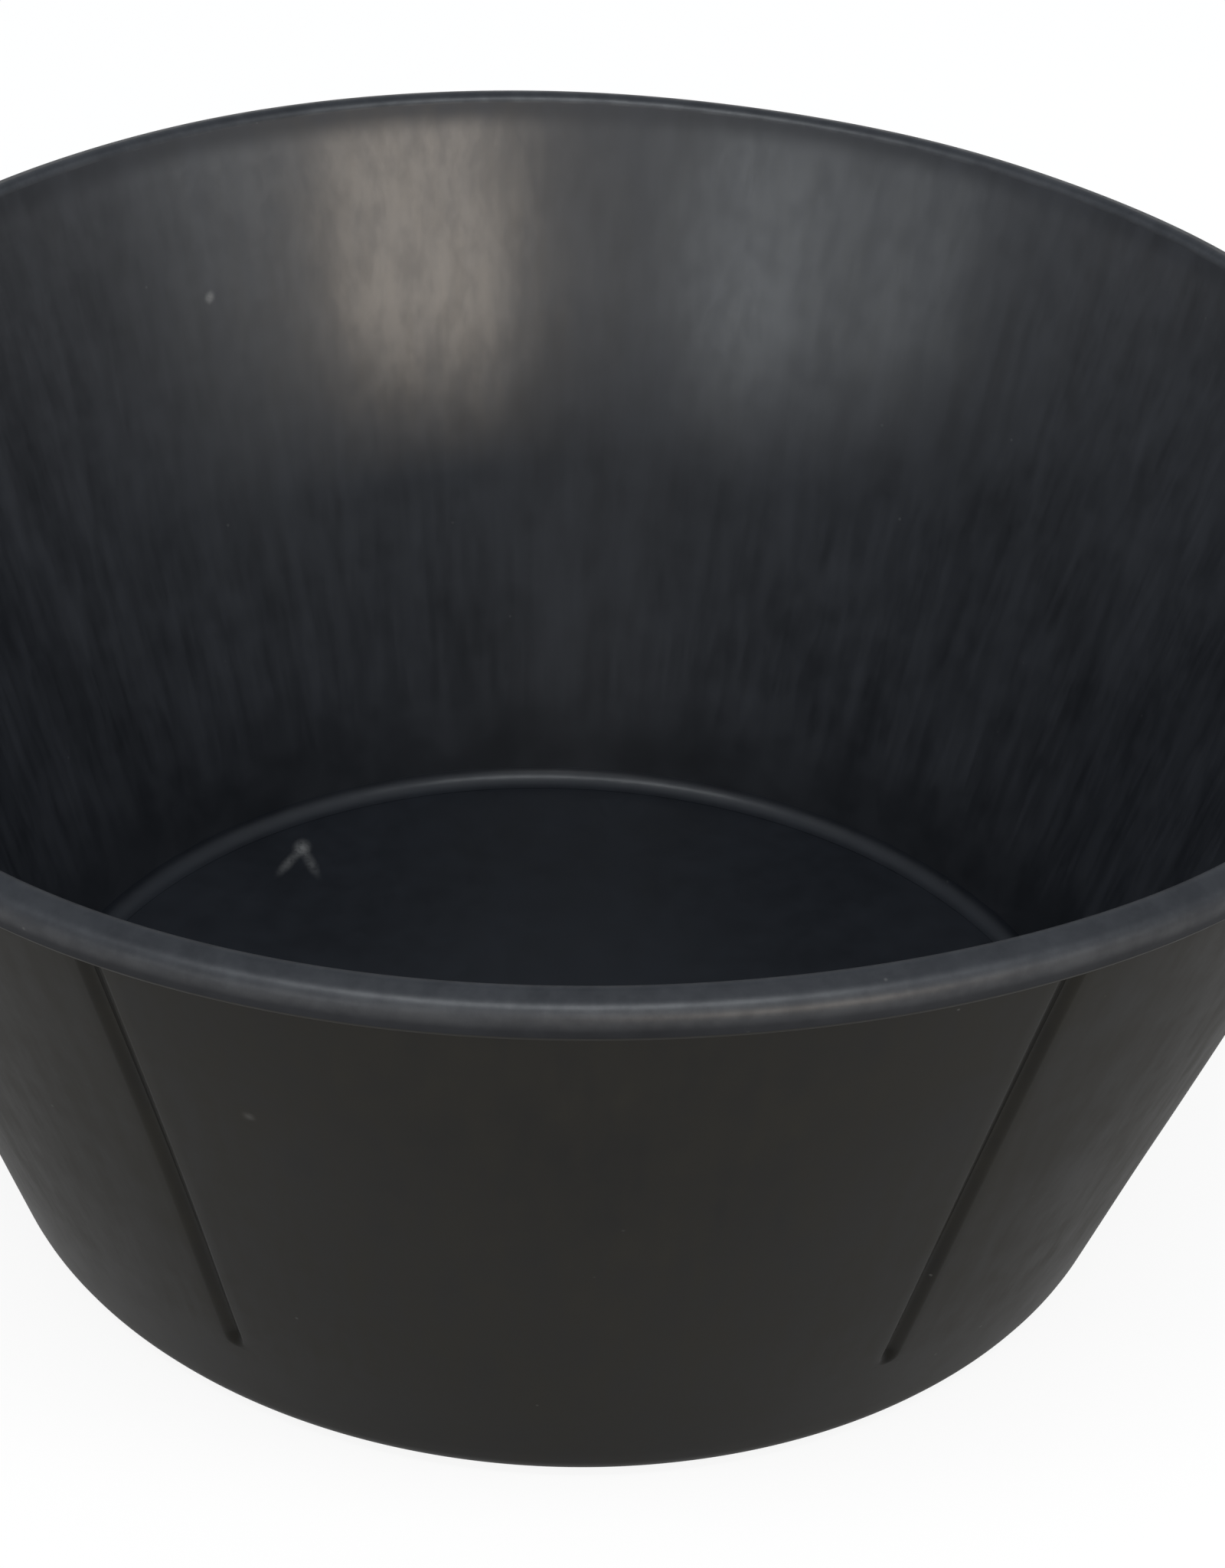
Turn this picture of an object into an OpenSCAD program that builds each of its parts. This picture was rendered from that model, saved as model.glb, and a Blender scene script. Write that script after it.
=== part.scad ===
// Rubber feed tub: a round, flared, open tub that stands on its own flat floor.
// The wall is a smooth inner ply under six outer panels, with a narrow upright groove between panels.
// Millimetres, +Z up. The origin is on the ground at the middle of the floor, and the front faces -Y.

/* [Overall] */
// Outside diameter over the rim bead
rim_d = 457; // [400:1:540]
// Height from the ground to the top of the rim bead
tub_h = 205; // [160:1:280]
// Diameter at which the line of the outside wall meets the ground
base_d = 305; // [250:1:350]

/* [Wall] */
// Thickness of the smooth inner ply, square to the wall
liner_t = 5; // [3:0.5:7]
// Thickness of the outer panels, square to the wall
panel_t = 2; // [1.5:0.5:6]
// Width of the groove between two panels, half way up the groove
groove_w = 6; // [2:0.5:10]

/* [Rim] */
// How far the rim bead stands out beyond the panels, square to the wall
bead_proud = 3.5; // [1:0.5:6]
// How far the rim bead stands in from the inside face, square to the wall
bead_inside_proud = 0.6; // [0.4:0.1:2]
// Length of the bead's neck, from the round of the bead to the top of the panels
neck_len = 3; // [2:0.5:10]

/* [Base] */
// Height of the plain band below the grooves
band_h = 31; // [26:1:70]
// Radius of the rounded heel where the wall turns under
heel_r = 10; // [6:0.5:14]
// How far the heel's full round would reach past the ground and past the wall
heel_bite = 0.15; // [0.05:0.05:0.5]
// Width of the band's foot, which laps under the edge of the floor
foot_w = 18; // [14:1:40]
// Thickness of the band's foot
foot_t = 4; // [2:0.5:6]

/* [Floor] */
// Thickness of the floor at its middle
floor_t = 10; // [8:0.5:16]
// Radius of the hollow of the corner strip
cove_r = 6; // [4:0.5:20]
// Thickness of the corner strip at its two edges
cove_edge_t = 1; // [0.5:0.5:3]

/* [Hidden] */
$fn = 180;

outside_color = "#2e2d2b";
inside_color = "#1f2025";

// How far cuts run past the solids that they cut
overrun = 1;

wall_t = liner_t + panel_t;
bead_r = (bead_inside_proud + wall_t + bead_proud)/2;
// Distance of the bead's centre from the inside face of the wall
bead_out = bead_r - bead_inside_proud;
// Sections are drawn as [radius, height]
bead_centre = [rim_d/2 - bead_r, tub_h - bead_r];
base_corner = [base_d/2, 0];
// Lean of the wall from upright, so that its outside face runs from the bead to the base corner
wall_rise = bead_centre - base_corner;
draft = atan2(wall_rise.x, wall_rise.y) + asin((wall_t - bead_out)/norm(wall_rise));
up_slope = [sin(draft), cos(draft)];
outward = [cos(draft), -sin(draft)];

// A point of the wall's section, so far down the slope from the bead and out from the inside face
function on_wall(down, out) = bead_centre + (out - bead_out)*outward - down*up_slope;
// The point of the wall's section at a given height
function wall_at(height, out) = on_wall((on_wall(0, out).y - height)/cos(draft), out);
// How far down the slope the outside face reaches that height
function down_to(height) = (on_wall(0, wall_t).y - height)/cos(draft);

neck_down = bead_r + neck_len;
band_down = down_to(band_h);
foot_inner_r = base_d/2 - foot_w;

// The heel's arc has its centre as far from the ground as from the outside face
heel_depth = heel_r - heel_bite;
heel_centre = wall_at(heel_depth, wall_t - heel_depth);

// The corner strip's hollow is an arc about a point as far from the floor as from the wall
cove_depth = cove_r + cove_edge_t;
cove_centre = wall_at(floor_t + cove_depth, -cove_depth);

panel_count = 6;
panel_pitch = 360/panel_count;
groove_mid_r = (on_wall(neck_down, wall_t).x + on_wall(band_down, wall_t).x)/2;
groove_angle = 2*asin(groove_w/2/groove_mid_r);

module floor_disc() {
    color(inside_color)
    rotate_extrude()
    polygon([
        [0, 0],
        [foot_inner_r, 0],
        [foot_inner_r, foot_t],
        wall_at(foot_t, liner_t),
        wall_at(floor_t, liner_t),
        [0, floor_t]
    ]);
}

module corner_cove() {
    color(inside_color)
    rotate_extrude()
    difference() {
        polygon([
            wall_at(floor_t, 0),
            cove_centre + cove_depth*outward,
            cove_centre,
            [cove_centre.x, floor_t]
        ]);
        translate(cove_centre)
        circle(r = cove_r);
    }
}

module inner_liner() {
    color(inside_color)
    rotate_extrude()
    polygon([
        wall_at(floor_t, 0),
        wall_at(floor_t, liner_t),
        on_wall(neck_down, liner_t),
        on_wall(neck_down, 0)
    ]);
}

// What the heel's round takes off the square corner
module heel_waste() {
    difference() {
        polygon([
            heel_centre,
            [heel_centre.x, -overrun],
            wall_at(-overrun, wall_t + overrun),
            heel_centre + (heel_depth + overrun)*outward
        ]);
        translate(heel_centre)
        circle(r = heel_r);
    }
}

module base_band() {
    color(outside_color)
    rotate_extrude()
    difference() {
        polygon([
            [foot_inner_r, 0],
            base_corner,
            on_wall(band_down, wall_t),
            on_wall(band_down, liner_t),
            wall_at(foot_t, liner_t),
            [foot_inner_r, foot_t]
        ]);
        heel_waste();
    }
}

// One outer panel. A groove lies at each whole turn of the pitch from +X, half in either panel.
module wall_panel(place) {
    color(outside_color)
    rotate([0, 0, place*panel_pitch + groove_angle/2])
    rotate_extrude(angle = panel_pitch - groove_angle)
    polygon([
        on_wall(neck_down, liner_t),
        on_wall(neck_down, wall_t),
        on_wall(band_down, wall_t),
        on_wall(band_down, liner_t)
    ]);
}

module rim_bead() {
    color(outside_color)
    union() {
        rotate_extrude()
        translate(bead_centre)
        circle(r = bead_r);
        rotate_extrude()
        polygon([
            on_wall(0, 0),
            on_wall(0, wall_t),
            on_wall(neck_down, wall_t),
            on_wall(neck_down, 0)
        ]);
    }
}

floor_disc();
corner_cove();
inner_liner();
base_band();
wall_panel(0);  // wall_panel_back_right
wall_panel(1);  // wall_panel_back
wall_panel(2);  // wall_panel_back_left
wall_panel(3);  // wall_panel_front_left
wall_panel(4);  // wall_panel_front
wall_panel(5);  // wall_panel_front_right
rim_bead();
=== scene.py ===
"""Rubber feed tub: the looks of each moulded piece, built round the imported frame. Lengths are in metres."""
import math

import bpy
import numpy as np
from mathutils import Matrix, Vector, noise


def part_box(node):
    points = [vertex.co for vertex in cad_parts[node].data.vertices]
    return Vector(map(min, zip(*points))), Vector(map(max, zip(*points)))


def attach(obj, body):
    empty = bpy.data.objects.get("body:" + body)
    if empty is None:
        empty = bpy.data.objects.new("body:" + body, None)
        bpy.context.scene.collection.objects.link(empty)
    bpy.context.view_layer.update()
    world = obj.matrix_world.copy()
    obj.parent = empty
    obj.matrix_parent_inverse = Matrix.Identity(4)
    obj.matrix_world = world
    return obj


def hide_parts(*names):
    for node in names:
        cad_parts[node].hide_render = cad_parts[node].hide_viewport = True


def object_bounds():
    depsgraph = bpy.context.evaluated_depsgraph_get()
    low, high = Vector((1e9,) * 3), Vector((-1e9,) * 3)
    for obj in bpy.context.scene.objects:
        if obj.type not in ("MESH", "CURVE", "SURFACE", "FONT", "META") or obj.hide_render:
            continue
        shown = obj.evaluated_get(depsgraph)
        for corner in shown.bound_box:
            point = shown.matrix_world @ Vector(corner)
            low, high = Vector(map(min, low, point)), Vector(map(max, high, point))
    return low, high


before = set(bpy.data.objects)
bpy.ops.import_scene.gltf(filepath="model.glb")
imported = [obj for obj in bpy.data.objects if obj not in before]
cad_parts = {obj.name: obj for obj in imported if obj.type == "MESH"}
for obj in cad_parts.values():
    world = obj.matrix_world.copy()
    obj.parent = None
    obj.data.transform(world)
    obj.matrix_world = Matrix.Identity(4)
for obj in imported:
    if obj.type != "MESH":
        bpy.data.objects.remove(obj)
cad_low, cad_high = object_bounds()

MM = 0.001
BODY = "root"

# How finely the round and flat faces are divided
TURN_STEPS = 360
FACE_STEP = 5*MM
ARC_STEP = math.radians(8)
SHARP_ANGLE = math.radians(40)
# Points closer to the tub's axis than this lie on it
AXIS_REACH = 1*MM
# Corners of a section that agree to so many decimals are one
RING_DECIMALS = 5

# Rounds and edges that the mould leaves on the pieces
HEEL_R = 10*MM
RIM_INNER_R = 3*MM
RIM_OUTER_R = 5*MM
RIM_UNDER_R = 4.5*MM
RIM_FILLET = 2.5*MM
COVE_R = 6*MM
COVE_EDGE_T = 0.1*MM
FOOT_SEAM_R = 0.5*MM
# The rim's outer side along the wall's slope, and how far its underside drops from there to the wall
RIM_SIDE_H = 9*MM
RIM_UNDER_DROP = 2.8*MM
# Faces of the rim that look further down than these get the outside's duller rubber, whose warm tint is
# painted ground bounce, or the darker groove rubber as painted shade under the lip
RIM_DULL_BELOW = -0.5
RIM_SHADE_BELOW = -0.8
# Faces of the rim this close to the inside face belong to it
INSIDE_REACH = 0.1*MM

# A groove's soft side: its width, the part of that beyond the groove's edge, and the rubber left at its foot
GROOVE_SIDE_W = 3.4*MM
GROOVE_SIDE_BACK = 0.6*MM
GROOVE_EDGE_T = 0.05*MM
GROOVE_SIDE_STEPS = 8
# Heights above a groove's lower tip, in radii of its round end: full depth, and where its sides turn soft
GROOVE_DEEP = 2
GROOVE_SOFT_START = 2
GROOVE_SOFT_FULL = 4

# How the soft rim sits out of true: waves round the rim, height of the wave, and azimuth of a crest
RIM_LIFT = ((1, 0.85*MM, 84), (2, 0.85*MM, -36), (3, 0.65*MM, 41), (4, 0.8*MM, 10))
RIM_SPREAD = ((1, 0.45*MM, -148), (2, 0.4*MM, 71), (3, 0.65*MM, 5), (4, 0.95*MM, -39))
# Hand-sized unevenness of the wall, and the heights between which it sets in
UNEVEN_DEPTH = 0.5*MM
UNEVEN_SIZE = 70*MM
UNEVEN_START = 15*MM
UNEVEN_FULL = 60*MM

# The outer panels, anticlockwise from +X as seen from above
PANELS = ("back_right", "back", "back_left", "front_left", "front", "front_right")


# The tub's section, read from the frame. Points of the section are [radius, height].

def rings(node):
    """The [radius, height] of each ring of corners of a turned node, lowest first."""
    places = np.array([corner.co[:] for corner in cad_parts[node].data.vertices])
    section = np.column_stack([np.hypot(places[:, 0], places[:, 1]), places[:, 2]])
    section = np.unique(section.round(RING_DECIMALS), axis=0)
    return section[np.lexsort((section[:, 0], section[:, 1]))]


def unit(direction):
    return direction/np.linalg.norm(direction)


def groove_half_angle():
    """Half the angle of a groove, from the corners of the panel that starts at +X."""
    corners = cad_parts["wall_panel_" + PANELS[0]].data.vertices
    return min(math.atan2(corner.co.y, corner.co.x) for corner in corners)


liner_rings = rings("inner_liner")
band_rings = rings("base_band")
bead_rings = rings("rim_bead")
inner_foot = liner_rings[0]
inner_top = liner_rings[-1]
band_top = band_rings[band_rings[:, 0].argmax()]
bead_side = bead_rings[bead_rings[:, 0].argmax()]

tub_h = cad_high.z
floor_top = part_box("floor_disc")[1].z
foot_inner_r = band_rings[0][0]
# The floor's second ring lies on the inner edge of the band's foot
foot_top = rings("floor_disc")[1][1]

up_slope = unit(inner_top - inner_foot)
outward = np.array([up_slope[1], -up_slope[0]])
liner_t = (liner_rings[1] - inner_foot) @ outward
wall_t = (band_top - inner_foot) @ outward
band_up = (band_top - inner_foot) @ up_slope
neck_up = (inner_top - inner_foot) @ up_slope

# The rim's top is square to the wall and flush inside. Its edges reach the solid bead's height and width.
rim_inner_up = (tub_h - RIM_INNER_R - inner_foot[1] - RIM_INNER_R*outward[1])/up_slope[1]
rim_top_up = rim_inner_up + RIM_INNER_R
rim_outer_up = rim_top_up - RIM_OUTER_R
rim_outer_out = (bead_side[0] - RIM_OUTER_R - inner_foot[0] - rim_outer_up*up_slope[0])/outward[0]
rim_out = rim_outer_out + RIM_OUTER_R
rim_under_up = rim_top_up - RIM_SIDE_H


def on_wall(up, out):
    """A point of the section, so far up the slope from the floor and out from the inside face."""
    return inner_foot + up*up_slope + out*outward


def wall_at(height, out):
    """The point of the section at a given height, so far out from the inside face."""
    return on_wall((height - on_wall(0, out)[1])/up_slope[1], out)


panel_pitch = math.tau/len(PANELS)
half_groove = groove_half_angle()
groove_end_r = half_groove*on_wall(band_up, wall_t)[0]


# Outlines

def arc(centre, radius, start, end):
    """Points of an arc, with angles from the way outward to the way up."""
    steps = max(2, math.ceil(abs(end - start)/ARC_STEP))
    angles = np.linspace(start, end, steps + 1)
    return [centre + radius*np.array([math.cos(angle), math.sin(angle)]) for angle in angles]


def rounded(*corners):
    """A closed outline from corners given as (point, radius of its round)."""
    outline = []
    for place, (point, radius) in enumerate(corners):
        if not radius:
            outline.append(np.array(point))
            continue
        back = unit(np.array(corners[place - 1][0]) - point)
        ahead = unit(np.array(corners[(place + 1) % len(corners)][0]) - point)
        half = math.acos(back @ ahead)/2
        centre = point + unit(back + ahead)*radius/math.sin(half)
        start = math.atan2(*(point + back*radius/math.tan(half) - centre)[::-1])
        end = math.atan2(*(point + ahead*radius/math.tan(half) - centre)[::-1])
        swing = (end - start + math.pi) % math.tau - math.pi
        outline.extend(arc(centre, radius, start, start + swing))
    return outline


def on_axis(point):
    return point[0] < AXIS_REACH


def divided(outline):
    """The closed outline with points added along its long straight runs, except on the axis."""
    points = []
    for here, ahead in zip(outline, outline[1:] + outline[:1]):
        steps = max(1, math.ceil(np.linalg.norm(ahead - here)/FACE_STEP))
        if on_axis(here) and on_axis(ahead):
            steps = 1
        points.extend(here + (ahead - here)*step/steps for step in range(steps))
    return points


# Meshes

def waves(table, azimuth):
    return sum(height*np.cos(count*(azimuth - math.radians(crest))) for count, height, crest in table)


def smooth_rise(value, start, full):
    share = np.clip((value - start)/(full - start), 0, 1)
    return share*share*(3 - 2*share)


def flexed(places):
    """The places moved as the soft wall leans and sags, which leaves the base flat on the ground."""
    azimuth = np.arctan2(places[:, 1], places[:, 0])
    height_share = np.clip(places[:, 2]/tub_h, 0, 1)
    lean = height_share**2
    uneven = np.array([noise.noise(Vector(place)/UNEVEN_SIZE) for place in places])
    uneven *= UNEVEN_DEPTH*smooth_rise(places[:, 2], UNEVEN_START, UNEVEN_FULL)
    spread = lean*waves(RIM_SPREAD, azimuth) + uneven
    moved = places.copy()
    moved[:, 0] += spread*np.cos(azimuth)
    moved[:, 1] += spread*np.sin(azimuth)
    moved[:, 2] += lean*waves(RIM_LIFT, azimuth)
    return moved


def piece(node, places, faces, materials, looks):
    """A closed mesh that stands for a CAD node and rides on the tub's one body.

    looks has the number of each face's material.
    """
    mesh = bpy.data.meshes.new(node + "_mesh")
    mesh.from_pydata(flexed(np.array(places)).tolist(), [], faces)
    mesh.validate()
    mesh.polygons.foreach_set("use_smooth", [True]*len(mesh.polygons))
    mesh.set_sharp_from_angle(angle=SHARP_ANGLE)
    for material in materials:
        mesh.materials.append(material)
    mesh.polygons.foreach_set("material_index", looks)
    made = bpy.data.objects.new(node + "_moulded", mesh)
    bpy.context.scene.collection.objects.link(made)
    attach(made, BODY)
    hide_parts(node)


def only_look(middle, facing):
    """The look of a piece with one material."""
    return 0


def turned(node, outline, materials, look=only_look):
    """A piece made by turning a closed outline about the tub's axis. The outline runs anticlockwise.

    look gives the number of a material for the middle of a run of the outline and the way that it faces.
    """
    outline = divided(outline)
    places = []
    starts = []
    for radius, height in outline:
        starts.append(len(places))
        if on_axis((radius, height)):
            places.append((0.0, 0.0, height))
            continue
        for step in range(TURN_STEPS):
            angle = math.tau*step/TURN_STEPS
            places.append((radius*math.cos(angle), radius*math.sin(angle), height))
    faces = []
    looks = []
    for here, point in enumerate(outline):
        ahead = (here + 1) % len(outline)
        ahead_point = outline[ahead]
        if on_axis(point) and on_axis(ahead_point):
            continue
        for step in range(TURN_STEPS):
            turn = (step + 1) % TURN_STEPS
            if on_axis(point):
                faces.append((starts[ahead] + turn, starts[ahead] + step, starts[here]))
            elif on_axis(ahead_point):
                faces.append((starts[here] + step, starts[here] + turn, starts[ahead]))
            else:
                low = (starts[here] + step, starts[here] + turn)
                high = (starts[ahead] + turn, starts[ahead] + step)
                faces.append(low + high)
        along = unit(ahead_point - point)
        run_look = look((point + ahead_point)/2, np.array([along[1], -along[0]]))
        looks.extend([run_look]*TURN_STEPS)
    piece(node, places, faces, materials, looks)


# Materials

# Noises: size of their features, octaves of detail, and strength of the finer octaves
CLOUDS = (50*MM, 4.0, 0.55)
PATCHES = (11*MM, 4.0, 0.6)
STREAKS = (11*MM, 4.0, 0.6)
THREADS = (4*MM, 3.0, 0.6)
POLISH = (7*MM, 5.0, 0.65)
GRAIN = (1.3*MM, 3.0, 0.6)
PEEL = (10*MM, 2.0, 0.6)
# The parts of a noise's span that are spread over 0 to 1
NOISE_SPAN = (0.3, 0.7)
POLISH_SPAN = (0.25, 0.75)
GRAIN_SPAN = (0.1, 0.6)
# How many times longer the marks that run up the wall are
STREAK_STRETCH = 4
THREAD_STRETCH = 6
POLISH_STRETCH = 2
# Heights between which the streaks set in
STREAK_RISE = (16*MM, 45*MM)
# Shares of the noises in the mottle and in the streaks
CLOUD_SHARE = 0.5
PATCH_SHARE = 0.5
STREAK_SHARE = 0.6
THREAD_SHARE = 0.4
# Crumbs: size of the cells, edge and core of a crumb in cells, draw that gives a cell one, and strength
CRUMB_CELL = 6*MM
CRUMB_EDGE = 0.10
CRUMB_CORE = 0.04
CRUMB_DRAW = (0.95, 0.97)
CRUMB_STRENGTH = 0.25
# Depths of the bumps
GRAIN_DEPTH = 0.008*MM
PEEL_DEPTH = 0.03*MM
STREAK_DEPTH = 0.006*MM
# How much rougher the rubber is under full bloom, and the skin's roughness as a share of the rubber's
BLOOM_ROUGHNESS = 0.15
SKIN_ROUGHNESS = 0.6
# The least and the most skin, as shares of the gloss
SKIN_LEAST = 0.82
SKIN_MOST = 1.18
# The rim's skin by how far up a face looks: it sets in on the side, and thins to a share on the flat top
RIM_SKIN_SPAN = (-0.5, 0.3)
RIM_TOP_SPAN = (0.75, 0.95)
RIM_TOP_SKIN = 0.65
# Depths below the tub's top between which the inside's skin thins, and the share that is left
MOUTH_START = 10*MM
MOUTH_END = 2*MM
MOUTH_SKIN = 0.1


def make(tree, kind, inputs=(), **settings):
    """A shader node with its settings, and with values or links for its inputs."""
    made = tree.nodes.new("ShaderNode" + kind)
    for key, value in settings.items():
        setattr(made, key, value)
    for key, value in dict(inputs).items():
        if isinstance(value, bpy.types.NodeSocket):
            tree.links.new(value, made.inputs[key])
        else:
            made.inputs[key].default_value = value
    return made


def grey(tree, kind, inputs=(), **settings):
    """The first output of a new shader node."""
    return make(tree, kind, inputs, **settings).outputs[0]


def emptied(owner):
    """The shader tree of a material or a world, with no nodes left in it."""
    owner.use_nodes = True
    owner.node_tree.nodes.clear()
    return owner.node_tree


def ranged(tree, value, low, high, to_low=0.0, to_high=1.0):
    """The value's span from low to high laid smoothly over another span."""
    inputs = {"Value": value, "From Min": low, "From Max": high, "To Min": to_low, "To Max": to_high}
    return grey(tree, "MapRange", inputs, interpolation_type="SMOOTHSTEP")


def mixed(tree, share, first, second):
    made = make(tree, "Mix", {0: share, 6: first, 7: second}, data_type="RGBA")
    return made.outputs[2]


def product(tree, *values):
    """The product of sockets and numbers."""
    result = values[0]
    for value in values[1:]:
        result = grey(tree, "Math", {0: result, 1: value}, operation="MULTIPLY")
    return result


def total(tree, *values):
    """The sum of sockets and numbers."""
    result = values[0]
    for value in values[1:]:
        result = grey(tree, "Math", {0: result, 1: value}, operation="ADD")
    return result


def speckle(tree, place, size, detail, roughness):
    """Soft noise with features of about that size."""
    inputs = {"Vector": place, "Scale": 1/size, "Detail": detail, "Roughness": roughness}
    return grey(tree, "TexNoise", inputs)


def up_the_wall(tree, place, stretch):
    """Places laid on a cylinder and squeezed upright, so that a noise on them runs up the wall."""
    flat = grey(tree, "VectorMath", {0: place, 1: (1, 1, 0)}, operation="MULTIPLY")
    way = grey(tree, "VectorMath", {0: flat}, operation="NORMALIZE")
    ring = grey(tree, "VectorMath", {0: way, 1: (inner_top[0], inner_top[0], 0)}, operation="MULTIPLY")
    rise = grey(tree, "VectorMath", {0: place, 1: (0, 0, 1/stretch)}, operation="MULTIPLY")
    return grey(tree, "VectorMath", {0: ring, 1: rise}, operation="ADD")


def bumped(tree, *layers):
    """The normal bumped by layers of (height socket, depth in metres)."""
    normal = None
    for height, depth in layers:
        inputs = {"Height": height, "Strength": 1.0, "Distance": depth}
        if normal is not None:
            inputs["Normal"] = normal
        normal = grey(tree, "Bump", inputs)
    return normal


def stroke(tree, place, middle, turn, size):
    """A short mark: 1 at its middle and 0 at the edge of its ellipsoid."""
    inputs = {"Vector": place, "Location": middle, "Rotation": (0, 0, math.radians(turn)), "Scale": size}
    there = grey(tree, "Mapping", inputs, vector_type="TEXTURE")
    return make(tree, "TexGradient", {0: there}, gradient_type="SPHERICAL").outputs[1]


def height_of(tree, direction_or_place):
    return make(tree, "SeparateXYZ", {0: direction_or_place}).outputs["Z"]


def polished_round(tree, coordinates):
    """A full skin on the outer round, less on the flat top, which is rubbed dull, and none underneath."""
    facing_up = height_of(tree, coordinates["Normal"])
    side = ranged(tree, facing_up, *RIM_SKIN_SPAN)
    top = ranged(tree, facing_up, *RIM_TOP_SPAN, 1.0, RIM_TOP_SKIN)
    return product(tree, side, top)


def dull_mouth(tree, coordinates):
    """A full skin on most of the wall, and little close to the rim, where the wall is rubbed dull."""
    height = height_of(tree, coordinates["Object"])
    return ranged(tree, height, tub_h - MOUTH_START, tub_h - MOUTH_END, 1.0, MOUTH_SKIN)


def crumbs(tree, place):
    """Small specks in a few cells: 1 at the core of a speck and 0 outside it."""
    cells = make(tree, "TexVoronoi", {"Vector": place, "Scale": 1/CRUMB_CELL}).outputs
    drawn = make(tree, "SeparateColor", {0: cells["Color"]}).outputs[0]
    core = ranged(tree, cells["Distance"], CRUMB_CORE, CRUMB_EDGE, 1.0, 0.0)
    return product(tree, core, ranged(tree, drawn, *CRUMB_DRAW))


def rubber(name, tone, bloom, mottle, streak, roughness, specular, gloss=0.0, fade=None, marks=()):
    """Moulded rubber with cloudy bloom, upright mould streaks, a few specks and a fine grain.

    gloss is the share of a smoother skin over the rubber's dull body, and fade thins that skin in places.
    """
    material = bpy.data.materials.new(name)
    tree = emptied(material)
    coordinates = make(tree, "TexCoord").outputs
    place = coordinates["Object"]

    clouds = ranged(tree, speckle(tree, place, *CLOUDS), *NOISE_SPAN)
    patches = ranged(tree, speckle(tree, place, *PATCHES), *NOISE_SPAN)
    streaks = ranged(tree, speckle(tree, up_the_wall(tree, place, STREAK_STRETCH), *STREAKS), *NOISE_SPAN)
    threads = ranged(tree, speckle(tree, up_the_wall(tree, place, THREAD_STRETCH), *THREADS), *NOISE_SPAN)
    upright = ranged(tree, height_of(tree, place), *STREAK_RISE)
    grain = speckle(tree, place, *GRAIN)
    peel = speckle(tree, place, *PEEL)

    mottled = total(tree, product(tree, clouds, CLOUD_SHARE), product(tree, patches, PATCH_SHARE))
    streaky = total(tree, product(tree, streaks, STREAK_SHARE), product(tree, threads, THREAD_SHARE))
    dusty = total(tree, product(tree, mottled, mottle), product(tree, streaky, streak, upright))
    colour = mixed(tree, dusty, tone, bloom)
    worn = product(tree, crumbs(tree, place), CRUMB_STRENGTH)
    for middle, turn, size, strength in marks:
        mark = ranged(tree, stroke(tree, place, middle, turn, size), 0.0, 1.0)
        worn = total(tree, worn, product(tree, mark, ranged(tree, grain, *GRAIN_SPAN), strength))
    colour = mixed(tree, worn, colour, SCUFF)

    rough = ranged(tree, dusty, 0.0, 1.0, roughness, roughness + BLOOM_ROUGHNESS)
    skin = 0.0
    if gloss:
        drawn = up_the_wall(tree, place, POLISH_STRETCH) if streak else place
        polish = ranged(tree, speckle(tree, drawn, *POLISH), *POLISH_SPAN)
        skin = ranged(tree, polish, 0.0, 1.0, SKIN_LEAST*gloss, SKIN_MOST*gloss)
    if fade:
        skin = product(tree, skin, fade(tree, coordinates))
    normal = bumped(tree, (grain, GRAIN_DEPTH), (peel, PEEL_DEPTH), (streaks, STREAK_DEPTH))
    inputs = {
        "Base Color": colour,
        "Roughness": rough,
        "Specular IOR Level": specular,
        "Coat Weight": skin,
        "Coat Roughness": SKIN_ROUGHNESS*roughness,
        "Normal": normal,
        "Coat Normal": normal,
    }
    shader = grey(tree, "BsdfPrincipled", inputs)
    make(tree, "OutputMaterial", {"Surface": shader})
    return material


# The inside, floor and rim colours are tinted blue: painted sky light. The outside's colours are tinted warm:
# painted bounce light from the ground.
INSIDE_TONE = (0.0016, 0.0021, 0.0034, 1)
INSIDE_BLOOM = (0.0152, 0.0164, 0.0200, 1)
RIM_TONE = (0.0030, 0.0036, 0.0052, 1)
RIM_BLOOM = (0.0165, 0.0177, 0.0208, 1)
FLOOR_TONE = (0.0010, 0.0016, 0.0032, 1)
FLOOR_BLOOM = (0.0040, 0.0052, 0.0080, 1)
OUTSIDE_TONE = (0.0009, 0.0008, 0.0005, 1)
OUTSIDE_BLOOM = (0.0122, 0.0112, 0.0084, 1)
# The grooves' colours are darker than the outside's: painted shade in the grooves.
GROOVE_SHADE_TONE = (0.0012, 0.0010, 0.0007, 1)
GROOVE_SHADE_BLOOM = (0.0060, 0.0055, 0.0042, 1)
SCUFF = (0.11, 0.108, 0.104, 1)
# Marks on the tub: middle, turn about the tub's axis, reach along, across and up, and strength
FLOOR_SCUFFS = (
    ((-78*MM, 108.5*MM, floor_top), 89, (6*MM, 3.5*MM, 3*MM), 0.9),
    ((-81.5*MM, 101*MM, floor_top), 67, (10*MM, 2.5*MM, 3*MM), 0.5),
    ((-75*MM, 101*MM, floor_top), 108, (10*MM, 2.5*MM, 3*MM), 0.4),
)
WALL_SCUFFS = (
    ((-108.5*MM, 172*MM, 160*MM), 0, (2*MM, 4*MM, 2.5*MM), 0.8),
)
PANEL_SCUFFS = (
    ((-75.5*MM, -190.5*MM, 143.5*MM), 0, (2.5*MM, 2.5*MM, 2.5*MM), 0.3),
)
inner_rubber = rubber(
    "inner_rubber", INSIDE_TONE, INSIDE_BLOOM, mottle=0.45, streak=0.55, roughness=0.41, specular=0.4,
    gloss=0.55, fade=dull_mouth, marks=WALL_SCUFFS,
)
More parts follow.
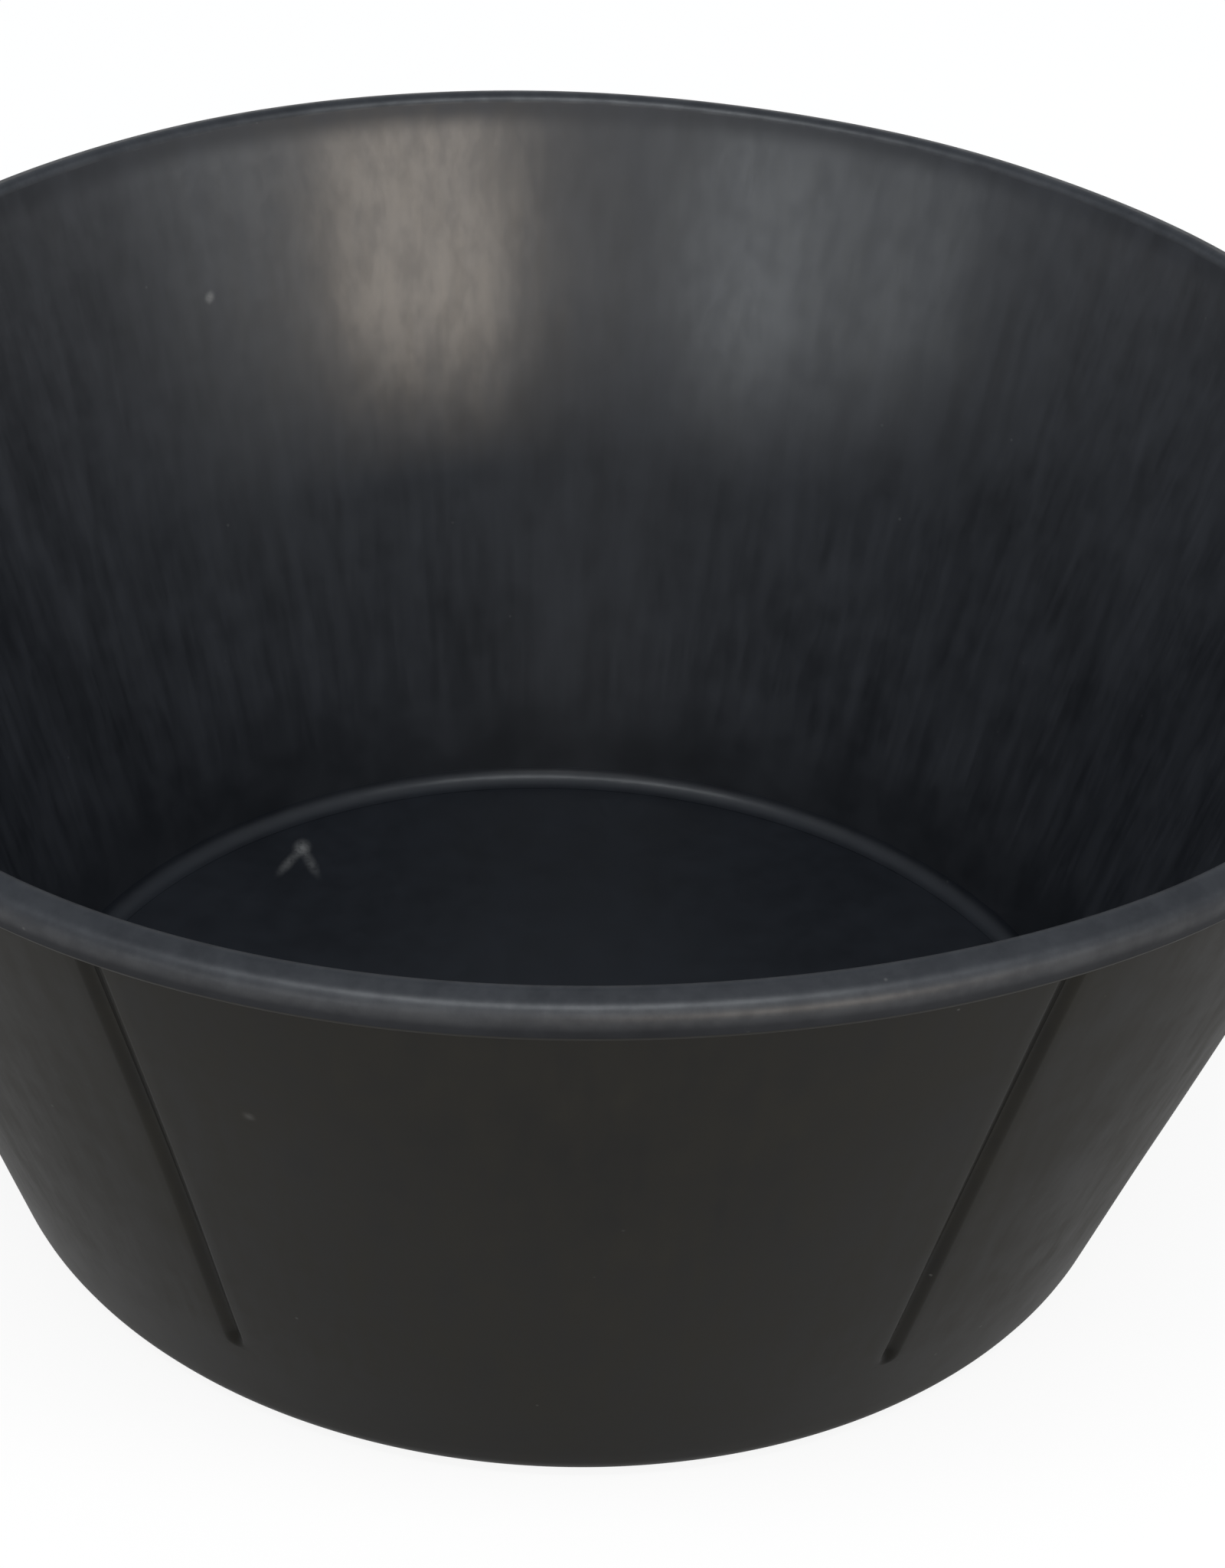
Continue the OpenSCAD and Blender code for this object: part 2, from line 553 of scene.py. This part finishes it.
floor_rubber = rubber(
    "floor_rubber", FLOOR_TONE, FLOOR_BLOOM, mottle=0.8, streak=0.0, roughness=0.45, specular=0.25,
    gloss=0.15, marks=FLOOR_SCUFFS,
)
rim_rubber = rubber(
    "rim_rubber", RIM_TONE, RIM_BLOOM, mottle=0.6, streak=0.0, roughness=0.72, specular=0.09,
    gloss=0.83, fade=polished_round,
)
outer_rubber = rubber(
    "outer_rubber", OUTSIDE_TONE, OUTSIDE_BLOOM, mottle=0.42, streak=0.45, roughness=0.5, specular=0.09,
    marks=PANEL_SCUFFS,
)
# Rubber for the bottom of the grooves and the rim's underside, darker than the outside: painted shade.
shaded_groove_rubber = rubber(
    "shaded_groove_rubber", GROOVE_SHADE_TONE, GROOVE_SHADE_BLOOM, mottle=0.6, streak=0.2, roughness=0.6, specular=0.07,
)


# Pieces


def floor_disc():
    """The floor, with the outside's look underneath."""
    outline = rounded(
        ((0, 0), 0),
        ((foot_inner_r, 0), FOOT_SEAM_R),
        ((foot_inner_r, foot_top), 0),
        (wall_at(foot_top, liner_t), 0),
        (wall_at(floor_top, liner_t), 0),
        ((0, floor_top), 0),
    )

    def look(middle, facing):
        return 1 if facing[1] < 0 else 0

    turned("floor_disc", outline, [floor_rubber, outer_rubber], look)


def corner_cove():
    """The strip that rounds the inside corner."""
    depth = COVE_R + COVE_EDGE_T
    centre = wall_at(floor_top + depth, -depth)
    outline = [wall_at(floor_top, 0), centre + depth*outward]
    outline += arc(centre, COVE_R, math.atan2(outward[1], outward[0]), -math.pi/2)
    outline.append(np.array([centre[0], floor_top]))
    turned("corner_cove", outline, [floor_rubber])


def inner_liner():
    """The smooth inner ply, whose back shows at the bottom of the grooves."""
    outline = [
        wall_at(floor_top, 0),
        wall_at(floor_top, liner_t),
        on_wall(neck_up, liner_t),
        on_wall(neck_up, 0),
    ]

    def look(middle, facing):
        # The outer face, which shows at the bottom of the grooves, gets the darker groove rubber as painted
        # shade.
        return 1 if facing[0] > 0 else 0

    turned("inner_liner", outline, [inner_rubber, shaded_groove_rubber], look)


def base_band():
    """The plain band at the foot of the wall, with its heel and foot."""
    outline = rounded(
        ((foot_inner_r, 0), FOOT_SEAM_R),
        (wall_at(0, wall_t), HEEL_R),
        (on_wall(band_up, wall_t), 0),
        (on_wall(band_up, liner_t), 0),
        (wall_at(foot_top, liner_t), 0),
        ((foot_inner_r, foot_top), 0),
    )
    turned("base_band", outline, [outer_rubber])


def rim_bead():
    """The thick lip of the mouth, which stands out over the panels."""
    outline = rounded(
        (on_wall(neck_up, wall_t), 0),
        (on_wall(rim_under_up - RIM_UNDER_DROP, wall_t), RIM_FILLET),
        (on_wall(rim_under_up, rim_out), RIM_UNDER_R),
        (on_wall(rim_top_up, rim_out), RIM_OUTER_R),
        (on_wall(rim_top_up, 0), RIM_INNER_R),
        (on_wall(neck_up, 0), 0),
    )

    def look(middle, facing):
        up = (middle - inner_foot) @ up_slope
        out = (middle - inner_foot) @ outward
        if out < INSIDE_REACH and up < rim_inner_up:
            return 1
        # The rim's faces take lit and shaded copies of the rubber by the way they face: the bluish top is
        # painted sky light, the warm side painted ground bounce, and the dark underside painted shade.
        if facing[1] < RIM_SHADE_BELOW:
            return 3
        if facing[1] < RIM_DULL_BELOW or up < rim_under_up:
            return 2
        return 0

    turned("rim_bead", outline, [rim_rubber, inner_rubber, outer_rubber, shaded_groove_rubber], look)


def panel_levels():
    """How far up the wall each row of a panel's corners lies, close together where the groove changes."""
    angles = [math.pi/2*step/GROOVE_SIDE_STEPS for step in range(GROOVE_SIDE_STEPS)]
    levels = [band_up + groove_end_r*(1 - math.cos(angle)) for angle in angles]
    start = band_up + groove_end_r
    fine_rows = (GROOVE_SOFT_FULL - 1)*GROOVE_SIDE_STEPS
    levels += [start + groove_end_r*row/GROOVE_SIDE_STEPS for row in range(fine_rows)]
    start += groove_end_r*fine_rows/GROOVE_SIDE_STEPS
    rows = math.ceil((neck_up - start)/FACE_STEP)
    return levels + [start + (neck_up - start)*row/rows for row in range(rows + 1)]


def groove_section(up):
    """Half the groove's width, its side's reach towards its middle and its depth, so far up the wall."""
    above_tip = up - band_up
    short = max(0, groove_end_r - above_tip)
    narrowing = groove_end_r - math.sqrt(groove_end_r**2 - short**2)
    half_w = max(0, half_groove*on_wall(up, wall_t)[0] - narrowing)
    softness = smooth_rise(above_tip, GROOVE_SOFT_START*groove_end_r, GROOVE_SOFT_FULL*groove_end_r)
    reach = half_w + (GROOVE_SIDE_W - GROOVE_SIDE_BACK - half_w)*softness
    depth = (wall_t - liner_t - GROOVE_EDGE_T)*smooth_rise(above_tip, 0, GROOVE_DEEP*groove_end_r)
    return half_w, reach, depth


def wall_panel(node, first_angle, last_angle):
    """One outer panel between two grooves, with soft sides and round lower ends that run out to the face."""
    steps = round((last_angle - first_angle)/math.tau*TURN_STEPS)
    shares = [step/GROOVE_SIDE_STEPS for step in range(GROOVE_SIDE_STEPS + 1)]
    columns = [(first_angle - half_groove, 1, share) for share in shares]
    columns += [(first_angle + (last_angle - first_angle)*step/steps, 0, 1) for step in range(1, steps)]
    columns += [(last_angle + half_groove, -1, share) for share in reversed(shares)]
    levels = panel_levels()
    places = []
    for up in levels:
        half_w, reach, depth = groove_section(up)
        for angle, side, share in columns:
            from_middle = half_w - reach + share*(reach + GROOVE_SIDE_BACK)
            drop = depth*(1 - smooth_rise(share, 0, 1))
            for out in (wall_t - drop, liner_t):
                radius, height = on_wall(up, out)
                turn = angle + side*from_middle/radius
                places.append((radius*math.cos(turn), radius*math.sin(turn), height))
    top = len(levels) - 1
    end = len(columns) - 1

    faces = []

    def add_face(*corners):
        """A face through corners given as (level, column, layer)."""
        faces.append([(level*len(columns) + column)*2 + layer for level, column, layer in corners])

    for level in range(top):
        above = level + 1
        for column in range(end):
            beside = column + 1
            add_face((level, column, 0), (level, beside, 0), (above, beside, 0), (above, column, 0))
            add_face((level, column, 1), (above, column, 1), (above, beside, 1), (level, beside, 1))
        add_face((level, 0, 1), (level, 0, 0), (above, 0, 0), (above, 0, 1))
        add_face((level, end, 0), (level, end, 1), (above, end, 1), (above, end, 0))
    for column in range(end):
        beside = column + 1
        add_face((0, column, 1), (0, beside, 1), (0, beside, 0), (0, column, 0))
        add_face((top, column, 0), (top, beside, 0), (top, beside, 1), (top, column, 1))
    piece(node, places, faces, [outer_rubber], [0]*len(faces))


floor_disc()
corner_cove()
inner_liner()
base_band()
rim_bead()
for place, side in enumerate(PANELS):
    wall_panel("wall_panel_" + side, place*panel_pitch + half_groove, (place + 1)*panel_pitch - half_groove)


# Stage, lights and camera

# The camera and the lamps stand so far round from the middle of the front panel, as the photo's grooves show
FRONT_TURN = math.radians(-1.2)

# The stage's floor reaches the top of the picture in views from a little above it
STAGE_R = 60.0
STAGE_GAP = 0.1*MM
STAGE_SIDES = 128
STAGE_COLOUR = (0.93, 0.90, 0.86, 1)
# How much of the floor is plain white to the camera and to the gloss
STAGE_WHITE_SHARE = 0.88
PLAIN_WHITE = (1, 1, 1, 1)

HORIZON_COLOUR = (0.5, 0.5, 0.5, 1)
OVERHEAD_COLOUR = (0.76, 0.83, 0.92, 1)
# Height of a direction of length 1 from which the dome has its overhead colour
OVERHEAD_RISE = 0.7

WARM = (1.0, 0.88, 0.75)
COOL = (0.93, 0.97, 1.0)
WHITE = (1.0, 1.0, 1.0)
# Lamps: name, azimuth and elevation in degrees, distance, width, height, power in watts, and colour
LAMPS = (
    ("low_right", 26, 10.2, 2.4, 1.04, 0.29, 15, WARM),
    ("low_left", -20.5, 10, 2.4, 0.6, 0.26, 3.1, COOL),
    ("far_left", -40, 9.8, 2.4, 1.3, 0.26, 4, COOL),
    ("far_right", 55, 17, 2.4, 1.0, 0.5, 4.8, COOL),
    ("overhead", 0, 64, 2.0, 1.7, 0.3, 24, COOL),
    ("front_mid", 2, 28, 2.5, 0.8, 0.6, 6.5, WHITE),
)

# The photo's height and focal length in pixels, and its camera's turns and place in front of the tub
PHOTO_H = 2048
PHOTO_FOCAL = 6300
PHOTO_YAW = math.radians(0.543)
PHOTO_PITCH = math.radians(33.996)
PHOTO_ROLL = math.radians(2.738)
PHOTO_AWAY = 1071.2*MM
PHOTO_HEIGHT = 832.3*MM
# Blender's cameras have their sensor in millimetres
SENSOR_W = 36


def seen_directly(tree):
    """1 for a ray from the camera, or one mirrored or passed on by a surface, and 0 for scattered light."""
    path = make(tree, "LightPath").outputs
    direct = total(tree, path["Is Camera Ray"], path["Is Glossy Ray"])
    return grey(tree, "Math", {0: direct, 1: path["Is Transmission Ray"]}, operation="MAXIMUM")


def stage_floor():
    """A pale floor that keeps the tub's shadow, and that the camera and the gloss see nearer to white."""
    material = bpy.data.materials.new("pale_floor")
    tree = emptied(material)
    white_share = product(tree, seen_directly(tree), STAGE_WHITE_SHARE)
    matt = grey(tree, "BsdfDiffuse", {"Color": STAGE_COLOUR})
    white = grey(tree, "Emission", {"Color": PLAIN_WHITE, "Strength": 1.0})
    shader = grey(tree, "MixShader", {0: white_share, 1: matt, 2: white})
    make(tree, "OutputMaterial", {"Surface": shader})
    place = (0, 0, -STAGE_GAP)
    bpy.ops.mesh.primitive_circle_add(vertices=STAGE_SIDES, radius=STAGE_R, fill_type="NGON", location=place)
    floor = bpy.context.object
    floor.name = "stage_floor"
    floor.data.materials.append(material)


def world_light():
    """An even dome, cooler overhead than at the horizon."""
    world = bpy.data.worlds.new("dome")
    bpy.context.scene.world = world
    tree = emptied(world)
    rise = height_of(tree, make(tree, "TexCoord").outputs["Generated"])
    colour = mixed(tree, ranged(tree, rise, 0.0, OVERHEAD_RISE), HORIZON_COLOUR, OVERHEAD_COLOUR)
    shader = grey(tree, "Background", {"Color": colour, "Strength": 1.0})
    make(tree, "OutputWorld", {"Surface": shader})


def soft_box(name, azimuth, elevation, distance, width, height, power, colour):
    """A rectangular lamp that faces the tub's mouth. Azimuth 0 is in front and 90 is on the right."""
    lamp = bpy.data.lights.new(name, "AREA")
    lamp.shape = "RECTANGLE"
    lamp.size = width
    lamp.size_y = height
    lamp.energy = power
    lamp.color = colour
    made = bpy.data.objects.new(name, lamp)
    bpy.context.scene.collection.objects.link(made)
    turn = math.radians(azimuth) + FRONT_TURN
    rise = math.radians(elevation)
    away = Vector((math.sin(turn)*math.cos(rise), -math.cos(turn)*math.cos(rise), math.sin(rise)))
    made.location = Vector((0, 0, tub_h)) + distance*away
    made.rotation_euler = away.to_track_quat("Z", "Y").to_euler()
    made.visible_camera = False


def photo_camera():
    """The camera as the photograph has it: in front and above, and a little off level."""
    ahead = Vector((math.sin(PHOTO_YAW), math.cos(PHOTO_YAW), 0))
    level = Vector((math.cos(PHOTO_YAW), -math.sin(PHOTO_YAW), 0))
    forward = math.cos(PHOTO_PITCH)*ahead - Vector((0, 0, math.sin(PHOTO_PITCH)))
    upright = level.cross(forward)
    right = math.cos(PHOTO_ROLL)*level + math.sin(PHOTO_ROLL)*upright
    up = math.cos(PHOTO_ROLL)*upright - math.sin(PHOTO_ROLL)*level
    camera = bpy.data.cameras.new("photo_camera")
    camera.sensor_width = SENSOR_W
    camera.lens = SENSOR_W*PHOTO_FOCAL/PHOTO_H
    made = bpy.data.objects.new("photo_camera", camera)
    bpy.context.scene.collection.objects.link(made)
    place = Matrix.Translation((0, -PHOTO_AWAY, PHOTO_HEIGHT))
    turn = Matrix((right, up, -forward)).transposed().to_4x4()
    made.matrix_world = Matrix.Rotation(FRONT_TURN, 4, "Z") @ place @ turn
    bpy.context.scene.camera = made


stage_floor()
world_light()
for lamp in LAMPS:
    soft_box(*lamp)
photo_camera()
bpy.context.scene.view_settings.view_transform = "Standard"
